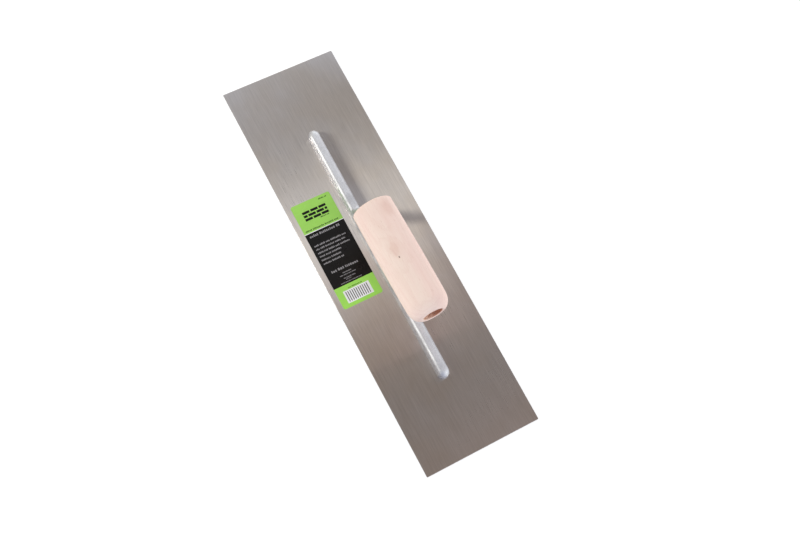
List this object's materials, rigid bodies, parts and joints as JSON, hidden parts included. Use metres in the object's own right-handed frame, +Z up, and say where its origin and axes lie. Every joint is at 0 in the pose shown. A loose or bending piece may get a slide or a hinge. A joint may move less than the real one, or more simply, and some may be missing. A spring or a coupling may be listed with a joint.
{
  "type": "finishing trowel",
  "caption": "Rectangular steel finishing trowel: thin flat blade, low aluminium bar with one leaning post, and a round bare-wood handle above it.",
  "frame": {"origin": "centre of the blade's underside", "axes": "+X along the blade towards its toe, +Y across the blade towards the side with the label, +Z up through the handle"},
  "size_m": [0.405, 0.115, 0.085],
  "materials": {
    "blade_steel": "fine brush lines along the blade, light oil film",
    "fastener_steel": "bright zinc",
    "shank_aluminium": "satin casting, fine grain",
    "handle_wood": "bare sanded pale hardwood",
    "label_print": "glossy printed sticker in green and black"
  },
  "bodies": {
    "root": {"blade": "blade_steel", "rivet_1": "fastener_steel", "rivet_2": "fastener_steel", "rivet_3": "fastener_steel", "rivet_4": "fastener_steel", "rivet_5": "fastener_steel", "rivet_6": "fastener_steel", "rivet_7": "fastener_steel", "rivet_8": "fastener_steel", "rivet_9": "fastener_steel", "shank": "shank_aluminium", "tie_rod": "fastener_steel", "handle": "handle_wood", "washer": "fastener_steel", "nut": "fastener_steel", "label": "label_print"}
  },
  "joints": []
}
